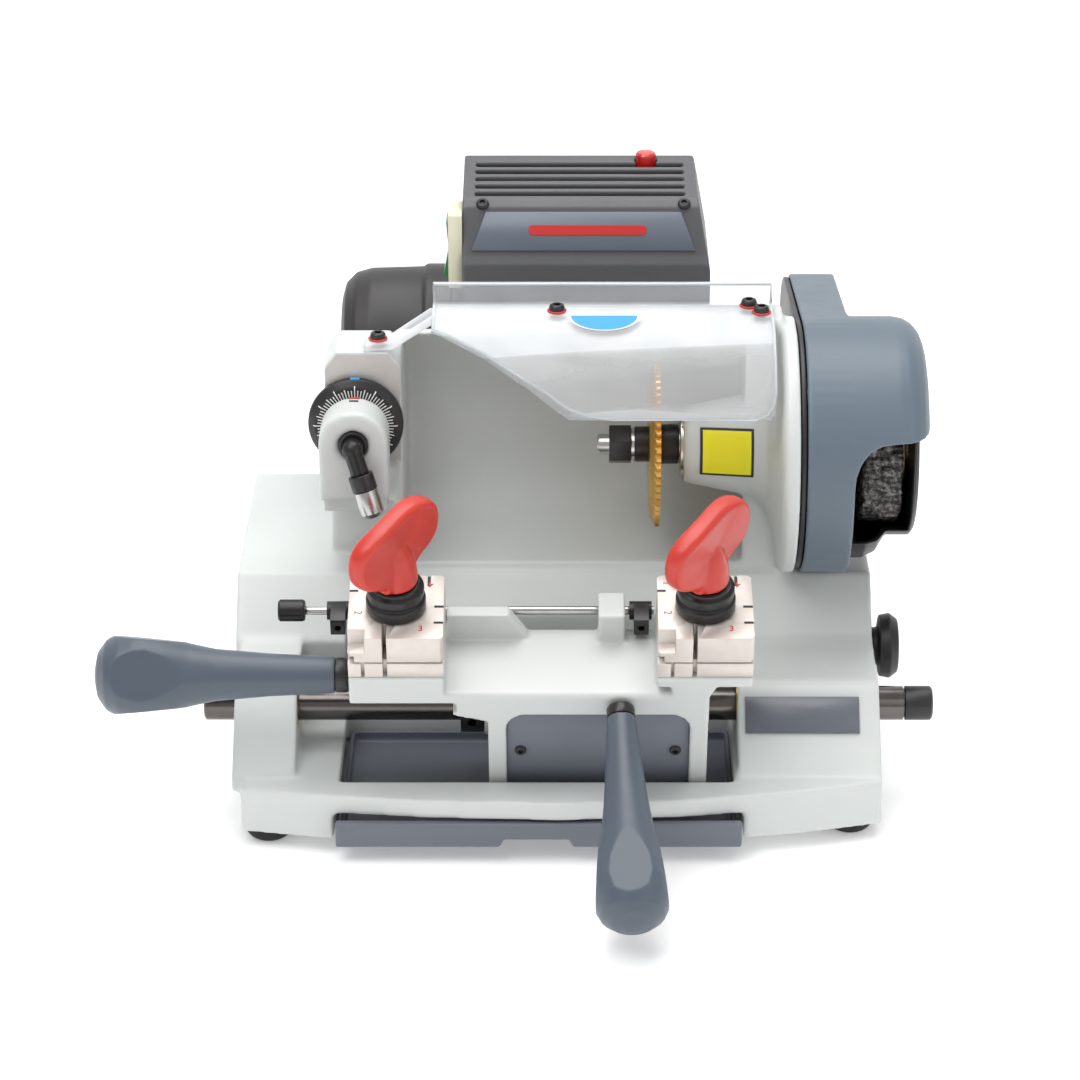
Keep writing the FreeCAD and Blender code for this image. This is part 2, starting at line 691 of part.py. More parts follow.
# Jaw notches: low x, y, z and high x, y, z, with x from the clamp's centre.
LOWER_NOTCHES = [
    (-6, -21, 30, -4, -16.5, 60), (-16, -21, 30, -14.4, -17, 60),
]
UPPER_NOTCHES = [
    (-6, -21, 40, -4, -8, 62), (-23, -21, 51, -14, -13, 62), (-23, -21, 44, -19, -16, 49),
    (17.5, -9, 58.8, 23, -7.6, 62), (17.5, 2, 58.8, 23, 3.4, 62),
    (-23, 13, 58.8, -18, 14.4, 62), (14, 17, 58.8, 15.4, 25, 62),
]


def notches(centre, rows):
    return [box((centre + x1, y1, z1), (centre + x2, y2, z2))
            for x1, y1, z1, x2, y2, z2 in rows]


def jaw_lower(centre):
    left, right = centre - JAW_HALF, centre + JAW_HALF
    square = [(left, -JAW_HALF), (right, -JAW_HALF), (right, JAW_HALF), (left, JAW_HALF)]
    block = extrude(square, "jaw_low", (0, STUD_Y, DIMS["jaw_seat"] + GAP))
    return cut(block, stud_bore("stud_rad", 30, centre, 30), *notches(centre, LOWER_NOTCHES))


def jaw_upper(centre):
    half, flat = JAW_HALF, JAW_HALF - 1.5   # chamfered corners
    octagon = [(-flat, -half), (flat, -half), (half, -flat), (half, flat),
               (flat, half), (-flat, half), (-half, flat), (-half, -flat)]
    block = extrude([(centre + x, y) for x, y in octagon], "jaw_high", (0, STUD_Y, 45.4))
    return cut(block, stud_bore("stud_rad+stud_fit", 40, centre, 30),
               *notches(centre, UPPER_NOTCHES))


def clamp_collar(centre):
    profile = [(60.1, 0), (60.1, 12.6), (61, 13.8), (66.4, 13.8), (67.2, 12.6), (68.2, 12.6),
               (69, 13.2), (73, 13.2), (74.2, 11.4), (75.6, 11.2), (75.6, 0)]
    return cut(turned(profile, (centre, STUD_Y, 0), Z_AXIS),
               stud_bore("stud_rad+stud_fit", 30, centre, 55))


def wing_knob(centre):
    """Propeller-shaped wing: an S-bowed plan cut to a rounded side outline."""
    front_edge, back_edge = [], []
    for i in range(25):
        x = -28 + 56 * i / 24.0
        bow = 5.0 * math.sin(math.pi * x / 34.0)
        # half width, rounded off beyond 22 mm from the centre
        half = 5.4
        if abs(x) >= 22:
            half *= math.sqrt(max(0.0, 1 - ((abs(x) - 22) / 6.2) ** 2))
        half = max(half, 0.9)
        front_edge.append((x, bow - half))
        back_edge.append((x, bow + half))
    # right half of the (x, z) side outline, from the top down
    side = [(15, 115), (22, 112.5), (26.5, 108.5), (28.6, 103), (28.6, 97), (26.5, 91.5),
            (22, 87.5), (15, 85), (10.5, 81), (9.5, KNOB_Z)]
    wing = doc.addObject("Part::Common", "Common")
    wing.Base = along_z(front_edge + back_edge[::-1], 44, KNOB_Z)
    wing.Tool = along_y([(-x, z) for x, z in side[::-1]] + side, 30, 15)
    hub = turned([(KNOB_Z, 0), (KNOB_Z, 10.2), (80, 9.8), (86, 8.2), (92, 6.6), (96, 5.0),
                  (96, 0)], (0, 0, 0), Z_AXIS)
    knob = cut(fuse(wing, hub), cyl("stud_rad+stud_fit", 3.6, (0, 0, 75.7), Z_AXIS))
    return place(knob, (centre, STUD_Y, 0), FreeCAD.Rotation(Z_AXIS, 48.0))


for side_name in ("left", "right"):
    for make_piece in (jaw_lower, jaw_upper, clamp_collar, wing_knob):
        add_part(side_name + "_" + make_piece.__name__,
                 make_piece(DIMS["clamp_" + side_name]), PLATFORM)


@part(PLATFORM)
def clamp_studs():
    return group(turned([(14, 0), (14, 6), (78, 6), (78, 0)], (centre, STUD_Y, 0), Z_AXIS)
                 for centre in (DIMS["clamp_left"], DIMS["clamp_right"]))


# ---------------------------------------------------------------- levers
@part(PLATFORM)
def left_lever_rod():
    return turned([(-97.5, 0), (-97.5, 7.4), (-99, 8.2), (-103.8, 8.2), (-103.8, 5),
                   (-160, 5), (-160, 0)], on_left_lever(0))


@part(PLATFORM)
def left_lever_grip():
    profile = [(-104, 0), (-104, 8.0), (-105, 8.6), (-135, 10.0), (-160, 12.2),
               (-172, 14.8), (-183, 18.6), (-192, 20.8), (-197, 20.9), (-204, 19.9),
               (-210, 16.6), (-214, 11.2), (-215.6, 4), (-215.8, 0)]
    return cut(turned(profile, on_left_lever(0)), cyl(5, 56.4, on_left_lever(-160.2)))


LEVER_DIR = V(3.8, -94.5, -21.3).normalize()   # front lever, forwards and down
LEVER_START = V(28.0, -45.2, 39.2)


@part(CARRIAGE)
def front_lever_rod():
    return turned([(0, 0), (0, 6.0), (1, 6.6), (5.8, 6.6), (5.8, 4.5), (60, 4.5), (60, 0)],
                  LEVER_START, LEVER_DIR)


@part(CARRIAGE)
def front_lever_grip():
    profile = [(6, 0), (6, 6.4), (7, 6.9), (30, 8.3), (55, 10.6), (69, 12.5), (79.5, 15.0),
               (88.5, 17.3), (96.5, 18.3), (105, 17.8), (111.6, 14.6), (115.4, 10),
               (117.4, 4), (117.8, 0)]
    return cut(turned(profile, LEVER_START, LEVER_DIR),
               cyl(4.5, 54.4, LEVER_START + LEVER_DIR * 5.8, LEVER_DIR))


# ---------------------------------------------------------------- key gauge
@part(PLATFORM)
def gauge_rod():
    return turned([(-119.8, 0), (-119.8, 2), (44, 2), (44, 0)], on_gauge(0))


@part(PLATFORM)
def gauge_knob():
    return turned([(-132.5, 0), (-132.5, 4.6), (-131.5, 5.2), (-120.9, 5.2), (-119.9, 4.6),
                   (-119.9, 0)], on_gauge(0))


@part(PLATFORM)
def gauge_fingers():
    return group(cut(fuse(cyl(4.4, 10.5, on_gauge(x)),
                          box((x + 2, 17, 29.5), (x + 9, 29, 38.5))),
                     cyl(2.0, 20, on_gauge(x - 3)),
                     cyl(1.6, 4, (x + 5.5, 16, 33.5), Y_AXIS))
                 for x in (-109.5, 32.6))


# ---------------------------------------------------------------- checks and files
doc.recompute()
failed = [obj.Name for obj in doc.Objects if set(obj.State) & {"Invalid", "Error"}]
if failed:
    raise SystemExit("failed objects: " + ", ".join(failed))
os.makedirs("parts", exist_ok=True)
for piece in PARTS:
    if piece.Shape.isNull() or not piece.Shape.isValid() or not piece.Shape.Solids:
        raise SystemExit("bad shape: " + piece.Label)
    piece.Shape.exportStep("parts/%s.step" % piece.Label)
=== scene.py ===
"""Bench cutting machine with a tracer and two key-style clamps on a tilted carriage.

The front faces -Y, up is +Z and the spindle runs along X. Sizes are machine millimetres,
measured from the spindle's line (y = 0) and the bottom of the machine, unless said otherwise.
"""
import bpy
import bmesh
import json
import math
import random
from mathutils import Matrix, Vector, Euler


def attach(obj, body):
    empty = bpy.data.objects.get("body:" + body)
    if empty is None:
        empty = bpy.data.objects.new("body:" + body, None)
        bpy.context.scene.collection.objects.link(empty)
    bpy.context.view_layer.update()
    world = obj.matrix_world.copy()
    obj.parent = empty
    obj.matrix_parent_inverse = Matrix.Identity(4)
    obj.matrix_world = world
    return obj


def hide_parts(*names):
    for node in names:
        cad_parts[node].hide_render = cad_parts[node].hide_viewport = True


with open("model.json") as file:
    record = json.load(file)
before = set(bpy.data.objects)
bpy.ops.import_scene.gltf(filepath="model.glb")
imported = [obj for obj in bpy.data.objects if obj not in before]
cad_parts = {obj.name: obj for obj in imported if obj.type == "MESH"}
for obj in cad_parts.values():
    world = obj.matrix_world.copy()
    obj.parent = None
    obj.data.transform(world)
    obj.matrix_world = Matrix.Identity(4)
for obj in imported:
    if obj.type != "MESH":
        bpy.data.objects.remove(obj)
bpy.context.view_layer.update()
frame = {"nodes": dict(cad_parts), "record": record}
NODES = frame["nodes"]
BODIES = frame["record"]["behaviour"]["bodies"]
BODY_OF = {node_name: body for body, members in BODIES.items() for node_name in members}
random.seed(7)

# ------------------------------------------------------------------ frames and shared places
MM = 0.001
ORIGIN_X, ORIGIN_Y = 18.9, 44.4  # where the machine's x = 0, y = 0 stands in the scene
SPINDLE_Z = 155
CARRIAGE_TILT = math.radians(16.0)
CAMERA_PITCH = 65.0  # degrees up from looking straight down
CLAMP_X = {"left": -75.4, "right": 66.9}  # in the clamp frame
CLAMP_Y = 2.4
DIAL_X, DIAL_Z = -98, 171


def scene_point(x, y, z):
    """Machine millimetres to scene metres."""
    return Vector(((x + ORIGIN_X) * MM, (y + ORIGIN_Y) * MM, z * MM))


def shift(x, y, z):
    return Matrix.Translation((x, y, z))


def turn(angle, axis):
    return Matrix.Rotation(angle, 4, axis)


def aimed(base, position, axis):
    """Frame at a position in the base frame, with its local Z along the axis."""
    aim = Vector(axis).normalized().to_track_quat("Z", "Y").to_matrix().to_4x4()
    return base @ Matrix.Translation(Vector(position)) @ aim


MACHINE = Matrix.Translation(scene_point(0, 0, 0)) @ Matrix.Scale(MM, 4)
CARRIAGE = (Matrix.Translation(scene_point(0, -72, 51)) @ turn(CARRIAGE_TILT, "X")
            @ Matrix.Scale(MM, 4))
CLAMPS = CARRIAGE @ shift(0, -23, 20)


# ------------------------------------------------------------------ shader helpers
def set_inputs(tree, target, inputs):
    """Link each socket that is given another socket; set the rest as plain values."""
    for socket, value in inputs.items():
        if isinstance(value, bpy.types.NodeSocket):
            tree.links.new(value, target.inputs[socket])
        else:
            target.inputs[socket].default_value = value


def node(tree, kind, inputs, **settings):
    made = tree.nodes.new("ShaderNode" + kind)
    for setting, value in settings.items():
        setattr(made, setting, value)
    set_inputs(tree, made, inputs)
    return made


def new_material(name):
    material = bpy.data.materials.new(name)
    material.use_nodes = True
    tree = material.node_tree
    return material, tree, tree.nodes["Principled BSDF"]


def noise(tree, scale, detail=4.0, rough=0.55, stretch=None):
    """Noise in object space, optionally stretched into brushed streaks."""
    vector = node(tree, "TexCoord", {}).outputs["Object"]
    if stretch:
        vector = node(tree, "Mapping", {"Scale": stretch, "Vector": vector}).outputs[0]
    made = node(tree, "TexNoise", {"Scale": scale, "Detail": detail, "Roughness": rough,
                                   "Vector": vector})
    return made.outputs["Fac"]


def ramp(tree, factor, stops):
    """Colour ramp; stops are (position, linear colour)."""
    made = node(tree, "ValToRGB", {0: factor})
    elements = made.color_ramp.elements
    for element, (position, colour) in zip(elements, (stops[0], stops[-1])):
        element.position = position
        element.color = (*colour, 1)
    for position, colour in stops[1:-1]:
        elements.new(position).color = (*colour, 1)
    return made.outputs[0]


def multiply(tree, first, second):
    return node(tree, "Math", {0: first, 1: second}, operation="MULTIPLY").outputs[0]


def mix_colour(tree, factor, first, second):
    inputs = {0: factor, 6: first, 7: (*second, 1)}
    return node(tree, "Mix", inputs, data_type="RGBA").outputs[2]


def bumped(tree, height, strength, distance):
    inputs = {"Strength": strength, "Distance": distance, "Height": height}
    return node(tree, "Bump", inputs).outputs[0]


def scaled(colour, factor):
    return tuple(min(1.0, channel * factor) for channel in colour)


def grey(value):
    return (value, value, value)


def linear(srgb):
    """8-bit sRGB to linear colour."""
    shares = [channel / 255.0 for channel in srgb]
    return tuple(u / 12.92 if u <= 0.04045 else ((u + 0.055) / 1.055) ** 2.4 for u in shares)


# ------------------------------------------------------------------ materials
MATERIALS = {}
ROUGH_SPREAD = 0.10  # roughness wanders this far either side


def surface(name, srgb, rough, vary, grain, bump, edge=None, highlight_mix=0.5, metal=0.0,
            coat=0.0, stretch=None, blotch=14.0):
    """Painted, moulded or machined finish.

    vary: colour spread over blotches of scale blotch; grain and bump: scale and strength
    of the fine relief; edge and its mix: colour and amount of the painted highlight on the
    edges, in noisy patches; stretch: noise scale per axis for brushed metal.
    """
    material, tree, shader = new_material(name)
    colour = linear(srgb)
    edge_highlight_colour = linear(edge) if edge else scaled(colour, 1.35)

    base = ramp(tree, noise(tree, scale=blotch, detail=5.0, rough=0.6),
                [(0.3, scaled(colour, 1 - vary)), (0.5, colour),
                 (0.72, scaled(colour, 1 + vary))])
    pointiness = node(tree, "NewGeometry", {}).outputs["Pointiness"]
    # Painted highlight: convex edges lighten towards the edge colour, in noisy patches
    ridges = ramp(tree, pointiness, [(0.50, grey(0)), (0.56, grey(1))])
    patchy = multiply(tree, ridges, noise(tree, scale=160.0, detail=3.0))
    lit_edges = mix_colour(tree, multiply(tree, patchy, highlight_mix), base, edge_highlight_colour)

    # Painted shade: the hollows darken towards a darker copy of the colour
    hollows = ramp(tree, pointiness, [(0.40, grey(1)), (0.49, grey(0))])
    hollow_shaded = mix_colour(tree, multiply(tree, hollows, 0.35), lit_edges, scaled(colour, 0.55))

    fine = noise(tree, scale=grain, detail=3.0, rough=0.6, stretch=stretch)
    smudges = noise(tree, scale=40.0, detail=6.0, rough=0.65, stretch=stretch)
    roughness = node(tree, "MapRange", {"To Min": max(0.03, rough - ROUGH_SPREAD),
                                        "To Max": min(1.0, rough + ROUGH_SPREAD), 0: smudges})
    set_inputs(tree, shader, {
        "Base Color": hollow_shaded,
        "Roughness": roughness.outputs[0],
        "Normal": bumped(tree, fine, strength=bump, distance=0.0002),
        "Metallic": metal,
    })
    if coat:
        set_inputs(tree, shader, {"Coat Weight": coat, "Coat Roughness": 0.25})
    MATERIALS[name] = material


def bristle_wire():
    material, tree, shader = new_material("bristle_wire")
    strands = noise(tree, scale=420, detail=6, rough=0.7)
    colour = ramp(tree, strands, [(0.36, linear((22, 21, 21))), (0.48, linear((70, 68, 67))),
                                  (0.62, linear((150, 147, 144)))])
    patches = noise(tree, scale=200, detail=4, rough=0.6)
    set_inputs(tree, shader, {
        "Base Color": colour,
        "Roughness": ramp(tree, patches, [(0.3, grey(0.45)), (0.8, grey(0.8))]),
        "Metallic": 0.4,
    })
    MATERIALS["bristle_wire"] = material


def clear_sheet():
    """Clear moulded sheet: mostly see-through, with a pale layer as a painted reflection that
    grows at glancing angles.
    """
    material, tree, shader = new_material("clear_sheet")
    see_through = node(tree, "BsdfTransparent", {0: (0.97, 0.975, 0.98, 1)})
    # Painted reflection: the pale layer's share rises with Fresnel, on top of its real gloss
    fresnel = node(tree, "Fresnel", {"IOR": 1.42})
    glancing_sheen = node(tree, "MapRange", {"From Max": 0.55, "To Min": 0.16, "To Max": 0.85,
                                        0: fresnel.outputs[0]})
    sheen_and_smears = node(tree, "Math", {0: noise(tree, scale=22, detail=4, rough=0.6), 1: 0.10,
                                 2: glancing_sheen.outputs[0]}, operation="MULTIPLY_ADD")
    mixed = node(tree, "MixShader", {0: sheen_and_smears.outputs[0], 1: see_through.outputs[0],
                                     2: shader.outputs[0]})
    # Tone of the pale layer that paints the reflection
    sheen_tone = noise(tree, scale=60, detail=3)
    colour = ramp(tree, sheen_tone, [(0.3, (0.80, 0.82, 0.83)), (0.7, (0.90, 0.91, 0.92))])
    handling = noise(tree, scale=90, detail=5, rough=0.6)
    roughness = ramp(tree, handling, [(0.3, grey(0.06)), (0.75, grey(0.18))])
    waves = noise(tree, scale=14, detail=2)
    set_inputs(tree, shader, {
        "Base Color": colour,
        "Roughness": roughness,
        "Normal": bumped(tree, waves, strength=0.05, distance=0.0005),
    })
    set_inputs(tree, tree.nodes["Material Output"], {0: mixed.outputs[0]})
    MATERIALS["clear_sheet"] = material


# Paints and plastics
surface("cast_paint", (204, 208, 206), rough=0.42, vary=0.03, grain=520, bump=0.28,
        edge=(215, 218, 216), highlight_mix=0.35, coat=0.15)
surface("carriage_paint", (201, 205, 203), rough=0.40, vary=0.025, grain=560, bump=0.22,
        edge=(235, 236, 234), highlight_mix=0.3, coat=0.15)
surface("grip_plastic", (76, 86, 97), rough=0.40, vary=0.04, grain=1500, bump=0.16,
        edge=(112, 122, 131), highlight_mix=0.3)
surface("blue_grey_plastic", (94, 107, 118), rough=0.42, vary=0.04, grain=1500, bump=0.18,
        edge=(135, 146, 154), highlight_mix=0.3)
surface("blue_grey_panel", (104, 109, 118), rough=0.5, vary=0.04, grain=1600, bump=0.2,
        edge=(120, 126, 134), highlight_mix=0.3)
surface("motor_cover_plastic", (84, 84, 87), rough=0.45, vary=0.05, grain=1400, bump=0.25,
        edge=(120, 120, 124), highlight_mix=0.4)
surface("cover_label", (98, 106, 118), rough=0.38, vary=0.03, grain=1800, bump=0.05,
        edge=(110, 116, 126), highlight_mix=0.2)
surface("black_oxide", (30, 29, 31), rough=0.34, metal=0.35, vary=0.15, grain=1100, bump=0.12,
        edge=(90, 88, 88))
surface("black_plastic", (28, 27, 29), rough=0.42, vary=0.12, grain=1500, bump=0.2,
        edge=(62, 62, 66), highlight_mix=0.4)
surface("motor_black", (40, 37, 39), rough=0.46, vary=0.10, grain=700, bump=0.25,
        edge=(80, 78, 80), highlight_mix=0.4)
surface("rubber", (24, 23, 24), rough=0.7, vary=0.15, grain=1300, bump=0.3,
        edge=(50, 50, 50), highlight_mix=0.3)
# Metals
surface("ground_steel", (178, 177, 174), rough=0.24, metal=1.0, vary=0.06, grain=300,
        bump=0.10, edge=(225, 225, 222), stretch=(1, 40, 40))
surface("turned_steel", (190, 188, 184), rough=0.22, metal=1.0, vary=0.06, grain=400,
        bump=0.10, edge=(225, 225, 222), stretch=(30, 1, 1))
surface("satin_nickel", (206, 198, 190), rough=0.42, metal=0.35, vary=0.05, grain=420,
        bump=0.14, edge=(238, 232, 226), stretch=(1, 1, 30))
surface("carriage_shaft", (92, 86, 84), rough=0.2, metal=0.9, vary=0.12, grain=300,
        bump=0.06, edge=(140, 136, 132), highlight_mix=0.4, stretch=(30, 1, 1))
surface("gold_coating", (214, 160, 66), rough=0.3, metal=0.95, vary=0.12, grain=600,
        bump=0.12, edge=(246, 214, 140), highlight_mix=0.7, blotch=60)
surface("brass", (196, 158, 92), rough=0.3, metal=1.0, vary=0.08, grain=500, bump=0.1,
        edge=(232, 204, 148))
# Bright plastics
surface("red_plastic", (192, 46, 33), rough=0.36, vary=0.07, grain=900, bump=0.22,
        edge=(240, 98, 82), highlight_mix=0.45, coat=0.1, blotch=30)
surface("red_button", (190, 24, 20), rough=0.2, vary=0.05, grain=1200, bump=0.05, coat=0.6)
surface("green_rocker", (18, 120, 62), rough=0.3, vary=0.06, grain=1200, bump=0.08, coat=0.3)
surface("cream_bezel", (214, 210, 186), rough=0.45, vary=0.04, grain=1200, bump=0.1)
# Labels and marks
surface("yellow_label", (236, 224, 20), rough=0.45, vary=0.02, grain=1500, bump=0.04)
surface("blue_label", (52, 150, 214), rough=0.4, vary=0.03, grain=1500, bump=0.03)
surface("white_mark", (236, 236, 232), rough=0.5, vary=0.03, grain=1500, bump=0.05)
surface("red_mark", (186, 40, 36), rough=0.5, vary=0.04, grain=1500, bump=0.04)
surface("dark_mark", (38, 36, 38), rough=0.55, vary=0.05, grain=1500, bump=0.04)
surface("machined_face", (186, 184, 180), rough=0.4, metal=0.25, vary=0.05, grain=260,
        bump=0.16, edge=(220, 216, 210), highlight_mix=0.4, stretch=(1, 1, 50))
surface("name_plate", (92, 97, 105), rough=0.32, vary=0.04, grain=1800, bump=0.06, coat=0.3)
surface("laminated_iron", (110, 102, 96), rough=0.5, metal=0.6, vary=0.1, grain=400,
        bump=0.3, stretch=(60, 1, 1))
bristle_wire()
clear_sheet()
# Pale rim colour: a painted highlight for the glint along the clear sheet's raised edges
surface("sheet_rim_glint", (214, 222, 226), rough=0.18, vary=0.04, grain=600, bump=0.05, coat=0.5)


# ------------------------------------------------------------------ mesh helpers
def smooth_faces(data):
    for polygon in data.polygons:
        polygon.use_smooth = True


def paint(data, material):
    data.materials.clear()
    data.materials.append(MATERIALS[material])


def new_object(name, mesh, material, body, matrix=Matrix(), sharp=40.0, replaces=None):
    """Turn a bmesh into an object; edges steeper than sharp degrees stay crisp."""
    data = bpy.data.meshes.new(name)
    mesh.transform(matrix)
    bmesh.ops.recalc_face_normals(mesh, faces=mesh.faces)
    mesh.to_mesh(data)
    mesh.free()
    made = bpy.data.objects.new(name, data)
    bpy.context.scene.collection.objects.link(made)
    data.materials.append(MATERIALS[material])
    smooth_faces(data)
    data.set_sharp_from_angle(angle=math.radians(sharp))
    if body:
        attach(made, body)
    if replaces:
        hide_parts(replaces)
    return made


def merge(mesh, part, matrix=Matrix()):
    """Move a part by the matrix, add it to the mesh and free it."""
    part.transform(matrix)
    carrier = bpy.data.meshes.new("carrier")
    part.to_mesh(carrier)
    part.free()
    mesh.from_mesh(carrier)
    bpy.data.meshes.remove(carrier)


def bridge(mesh, rings, capped=False):
    """Join closed rings in turn; a ring of one vertex makes a fan."""
    for low, high in zip(rings, rings[1:]):
        count = max(len(low), len(high))
        for k in range(count):
            after = (k + 1) % count
            if len(low) == 1:
                mesh.faces.new((low[0], high[k], high[after]))
            elif len(high) == 1:
                mesh.faces.new((low[k], low[after], high[0]))
            else:
                mesh.faces.new((low[k], low[after], high[after], high[k]))
    if capped:
        mesh.faces.new(rings[0][::-1])
        mesh.faces.new(rings[-1])


def tube(mesh, points, radius, segments=10):
    """Round bar through points."""
    rings = []
    for i, point in enumerate(points):
        before = points[max(0, i - 1)]
        after = points[min(len(points) - 1, i + 1)]
        aim = (Vector(after) - Vector(before)).normalized().to_track_quat("Z", "Y")
        ring = []
        for k in range(segments):
            angle = 2 * math.pi * k / segments
            offset = Vector((radius * math.cos(angle), radius * math.sin(angle), 0))
            ring.append(mesh.verts.new(Vector(point) + aim @ offset))
        rings.append(ring)
    bridge(mesh, rings, capped=True)


def lathe(mesh, profile, segments=48, radius_at=None):
    """Solid turned about local Z from (radius, height) rows.

    radius_at(row, k, angle, radius) may change the radius from vertex to vertex.
    """
    rings = []
    for row, (radius, z) in enumerate(profile):
        if radius < 1e-6:
            rings.append([mesh.verts.new((0, 0, z))])
            continue
        ring = []
        for k in range(segments):
            angle = 2 * math.pi * k / segments
            reach = radius_at(row, k, angle, radius) if radius_at else radius
            ring.append(mesh.verts.new((reach * math.cos(angle), reach * math.sin(angle), z)))
        rings.append(ring)
    bridge(mesh, rings)


def slab(mesh, width, height, thickness, corner, segments=5):
    """Rounded rectangle plate from z = 0 upward, with eased rims."""
    ease = min(0.25, thickness * 0.35)
    right, top = width / 2 - corner, height / 2 - corner
    centres = ((right, top, 0), (-right, top, 90), (-right, -top, 180), (right, -top, 270))
    rings = []
    for inset, z in ((ease, 0), (0, ease), (0, thickness - ease), (ease, thickness)):
        reach = max(0.01, corner - inset)
        ring = []
        for centre_x, centre_y, start in centres:
            for k in range(segments + 1):
                angle = math.radians(start + 90.0 * k / segments)
                ring.append(mesh.verts.new((centre_x + reach * math.cos(angle),
                                            centre_y + reach * math.sin(angle), z)))
        rings.append(ring)
    bridge(mesh, rings, capped=True)


def merge_slab(mesh, matrix, *sizes):
    part = bmesh.new()
    slab(part, *sizes)
    merge(mesh, part, matrix)


def slab_object(name, material, body, matrix, **sizes):
    mesh = bmesh.new()
    slab(mesh, **sizes)
    new_object(name, mesh, material, body, matrix)


# ------------------------------------------------------------------ castings and mouldings
def apply_modifiers(thing):
    depsgraph = bpy.context.evaluated_depsgraph_get()
    data = bpy.data.meshes.new_from_object(thing.evaluated_get(depsgraph))
    thing.modifiers.clear()
    thing.data = data


def round_edges(thing, voxel, relax, shape=None):
    """Remesh at voxel mm, reshape if asked, then relax that many times."""
    remesh = thing.modifiers.new("remesh", "REMESH")
    remesh.mode = "VOXEL"
    remesh.voxel_size = voxel * MM
    remesh.use_smooth_shade = True
    if shape:
        apply_modifiers(thing)
        shape(thing.data)
    smooth = thing.modifiers.new("relax", "SMOOTH")
    smooth.factor = 0.5
    smooth.iterations = relax
    apply_modifiers(thing)
    smooth_faces(thing.data)


def soften(node_name, material, voxel, relax, shape=None):
    """A cast or moulded copy of a CAD node, with every edge rounded."""
    made = bpy.data.objects.new(node_name + "_cast", NODES[node_name].data.copy())
    bpy.context.scene.collection.objects.link(made)
    round_edges(made, voxel, relax, shape)
    paint(made.data, material)
    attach(made, BODY_OF[node_name])
    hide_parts(node_name)


def facets(start, direction, toward, first_gap, first_along, slope):
    """Shaper that presses four leaning flats into a grip's bulb.

    The flats begin first_along mm down the grip, first_gap mm off its axis, and the gap
    grows by slope; one of them faces the toward direction.
    """
    axis = Vector(direction).normalized()
    facing = (Vector(toward) - axis * Vector(toward).dot(axis)).normalized()
    sideways = axis.cross(facing)

    def shape(data):
        for vertex in data.vertices:
            offset = vertex.co - start
            along = offset.dot(axis)
            if along < first_along * MM:
                continue
            gap = first_gap * MM + slope * (along - first_along * MM)
            for normal in (facing, -facing, sideways, -sideways):
                over = offset.dot(normal) - gap
                if over > 0:
                    vertex.co = vertex.co - normal * over
                    offset = vertex.co - start
    return shape


def closed_spline(points, steps):
    """Smooth closed curve through points, with this many steps from each to the next."""
    curve = []
    count = len(points)
    for i in range(count):
        p0, p1, p2, p3 = (Vector(points[(i + k - 1) % count]) for k in range(4))
        for k in range(steps):
            t = k / steps
            curve.append(0.5 * ((2 * p1) + (p2 - p0) * t
                                + (2 * p0 - 5 * p1 + 4 * p2 - p3) * t * t
                                + (3 * p1 - p0 - 3 * p2 + p3) * t ** 3))
    return curve


# Left half of the wing's outline: across, up
WING_HALF = [(-9.6, 76.3), (-12.4, 80.2), (-17.6, 83.6), (-23.4, 87.0), (-27.2, 92.2),
             (-28.3, 99.5), (-26.9, 106.0), (-22.0, 111.2), (-13.0, 114.2)]
WING_TOP = (0, 114.8)
WING_CENTRE = Vector((0, 98))
WING_HALF_DEPTH = 5.2
# Inset of the outline, share of the half depth
WING_LAYERS = [(3.0, -1.0), (1.2, -0.86), (0.2, -0.5), (0.0, 0.0),
               (0.2, 0.5), (1.2, 0.86), (3.0, 1.0)]
# Tapered hub: radius, height
HUB_PROFILE = [(0, 76.0), (9.6, 76.0), (10.4, 76.8), (10.5, 81), (9.8, 87), (8.2, 93),
               (5.6, 99), (2.5, 103), (0, 104)]


def wing_knob(side):
    """Ear-shaped, slightly S-bowed wing on a tapered hub."""
    mesh = bmesh.new()
    mirrored = [(-x, z) for x, z in reversed(WING_HALF)]
    outline = closed_spline(WING_HALF + [WING_TOP] + mirrored, steps=5)
    rings = []
    for inset, share in WING_LAYERS:
        ring = []
        for point in outline:
            moved = point + (WING_CENTRE - point).normalized() * inset
            half_depth = WING_HALF_DEPTH
            if abs(moved.x) > 18:  # the tips are thinner
                half_depth -= 0.9 * ((abs(moved.x) - 18) / 10.0) ** 2
            bow = 2.2 * math.sin(math.pi * moved.x / 34.0)
            ring.append(mesh.verts.new((moved.x, bow + share * half_depth, moved.y)))
        rings.append(ring)
    bridge(mesh, rings)
    for ring, y in ((rings[0], -WING_HALF_DEPTH), (rings[-1], WING_HALF_DEPTH)):
        middle = mesh.verts.new(sum((vertex.co for vertex in ring), Vector()) / len(ring))
        middle.co.y = y
        bridge(mesh, [ring, [middle]])
    hub = bmesh.new()
    lathe(hub, HUB_PROFILE)
    merge(mesh, hub)
    matrix = CLAMPS @ shift(CLAMP_X[side], CLAMP_Y, 0) @ turn(math.radians(48), "Z")
    made = new_object(side + "_ear_knob", mesh, "red_plastic", None, matrix)
    round_edges(made, voxel=0.6, relax=10)
    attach(made, side + "_knob")
    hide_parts(side + "_wing_knob")


soften("base_casting", "cast_paint", voxel=1.4, relax=5)
soften("carriage_casting", "carriage_paint", voxel=0.9, relax=4)
soften("belt_guard", "blue_grey_plastic", voxel=0.9, relax=5)
soften("motor_cover", "motor_cover_plastic", voxel=0.75, relax=3)
soften("motor_end_cap", "motor_black", voxel=0.9, relax=4)
for side in CLAMP_X:
    wing_knob(side)

